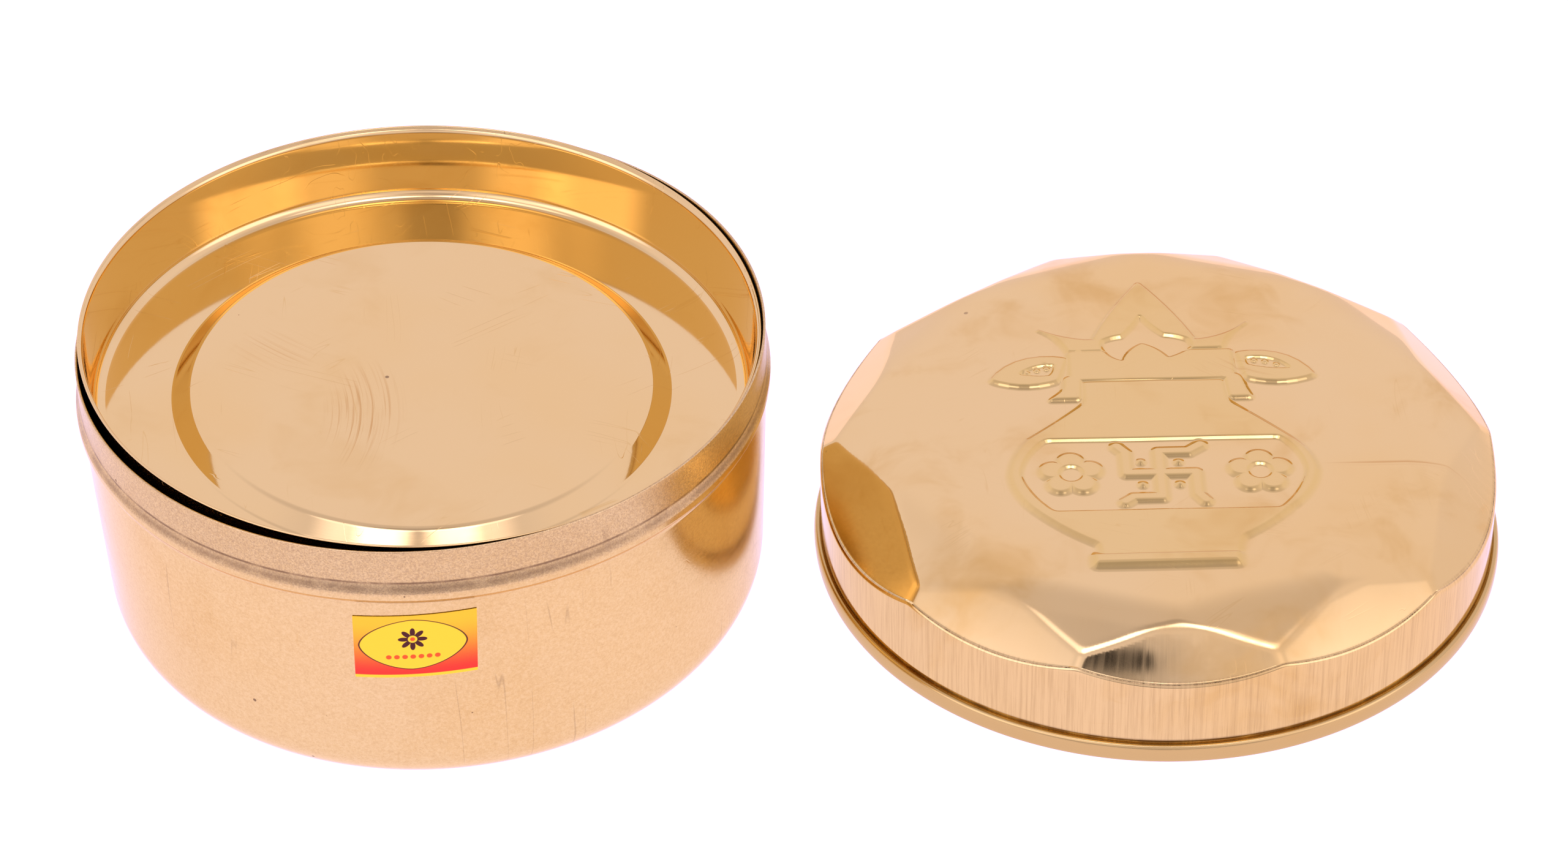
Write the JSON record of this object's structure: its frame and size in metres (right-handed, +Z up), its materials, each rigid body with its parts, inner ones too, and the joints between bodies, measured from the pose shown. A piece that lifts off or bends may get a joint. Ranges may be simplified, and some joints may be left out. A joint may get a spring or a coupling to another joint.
{
  "type": "spice box masala dabba",
  "caption": "Round brass spice box with small cups and a spoon under a dished inner plate, and a faceted slip-on lid lying beside it.",
  "frame": {"origin": "centre of the flat base of the box", "axes": "+Z up, +X from the box towards the lid beside it, -Y towards the front, where the label is"},
  "size_m": [0.4006, 0.2057, 0.0934],
  "materials": {
    "satin_brass": "satin, finely brushed",
    "plate_brass": "polished, with fine scratches",
    "lid_brass": "polished, with a brushed skirt",
    "cup_brass": "polished",
    "spoon_brass": "polished",
    "label_paper": "printed, slightly glossy"
  },
  "bodies": {
    "box": {"box_body": "satin_brass", "label_sticker": "label_paper"},
    "plate": {"inner_plate": "plate_brass"},
    "lid": {"outer_lid": "lid_brass"},
    "centre_cup": {"cup_centre": "cup_brass"},
    "ring_cup_1": {"cup_1": "cup_brass"},
    "ring_cup_2": {"cup_2": "cup_brass"},
    "ring_cup_3": {"cup_3": "cup_brass"},
    "ring_cup_4": {"cup_4": "cup_brass"},
    "ring_cup_5": {"cup_5": "cup_brass"},
    "ring_cup_6": {"cup_6": "cup_brass"},
    "spice_spoon": {"spoon": "spoon_brass"}
  },
  "joints": [
    {"name": "lid_lift", "type": "slide", "parent": "box", "child": "lid", "axis": [0, 0, 1], "range_m": [0, 0.12]},
    {"name": "plate_lift", "type": "slide", "parent": "box", "child": "plate", "axis": [0, 0, 1], "range_m": [0, 0.2]},
    {"name": "spoon_lift", "type": "slide", "parent": "box", "child": "spice_spoon", "axis": [0, 0, 1], "range_m": [0, 0.16]},
    {"name": "centre_cup_lift", "type": "slide", "parent": "box", "child": "centre_cup", "axis": [0, 0, 1], "range_m": [0, 0.1]},
    {"name": "ring_cup_1_lift", "type": "slide", "parent": "box", "child": "ring_cup_1", "axis": [0, 0, 1], "range_m": [0, 0.1]},
    {"name": "ring_cup_2_lift", "type": "slide", "parent": "box", "child": "ring_cup_2", "axis": [0, 0, 1], "range_m": [0, 0.1]},
    {"name": "ring_cup_3_lift", "type": "slide", "parent": "box", "child": "ring_cup_3", "axis": [0, 0, 1], "range_m": [0, 0.1]},
    {"name": "ring_cup_4_lift", "type": "slide", "parent": "box", "child": "ring_cup_4", "axis": [0, 0, 1], "range_m": [0, 0.1]},
    {"name": "ring_cup_5_lift", "type": "slide", "parent": "box", "child": "ring_cup_5", "axis": [0, 0, 1], "range_m": [0, 0.1]},
    {"name": "ring_cup_6_lift", "type": "slide", "parent": "box", "child": "ring_cup_6", "axis": [0, 0, 1], "range_m": [0, 0.1]}
  ],
  "couplings": [
    {"joint": "spoon_lift", "follows": "plate_lift", "ratio": 0.8},
    {"joint": "centre_cup_lift", "follows": "plate_lift", "ratio": 0.5},
    {"joint": "ring_cup_1_lift", "follows": "plate_lift", "ratio": 0.5},
    {"joint": "ring_cup_2_lift", "follows": "plate_lift", "ratio": 0.5},
    {"joint": "ring_cup_3_lift", "follows": "plate_lift", "ratio": 0.5},
    {"joint": "ring_cup_4_lift", "follows": "plate_lift", "ratio": 0.5},
    {"joint": "ring_cup_5_lift", "follows": "plate_lift", "ratio": 0.5},
    {"joint": "ring_cup_6_lift", "follows": "plate_lift", "ratio": 0.5}
  ]
}
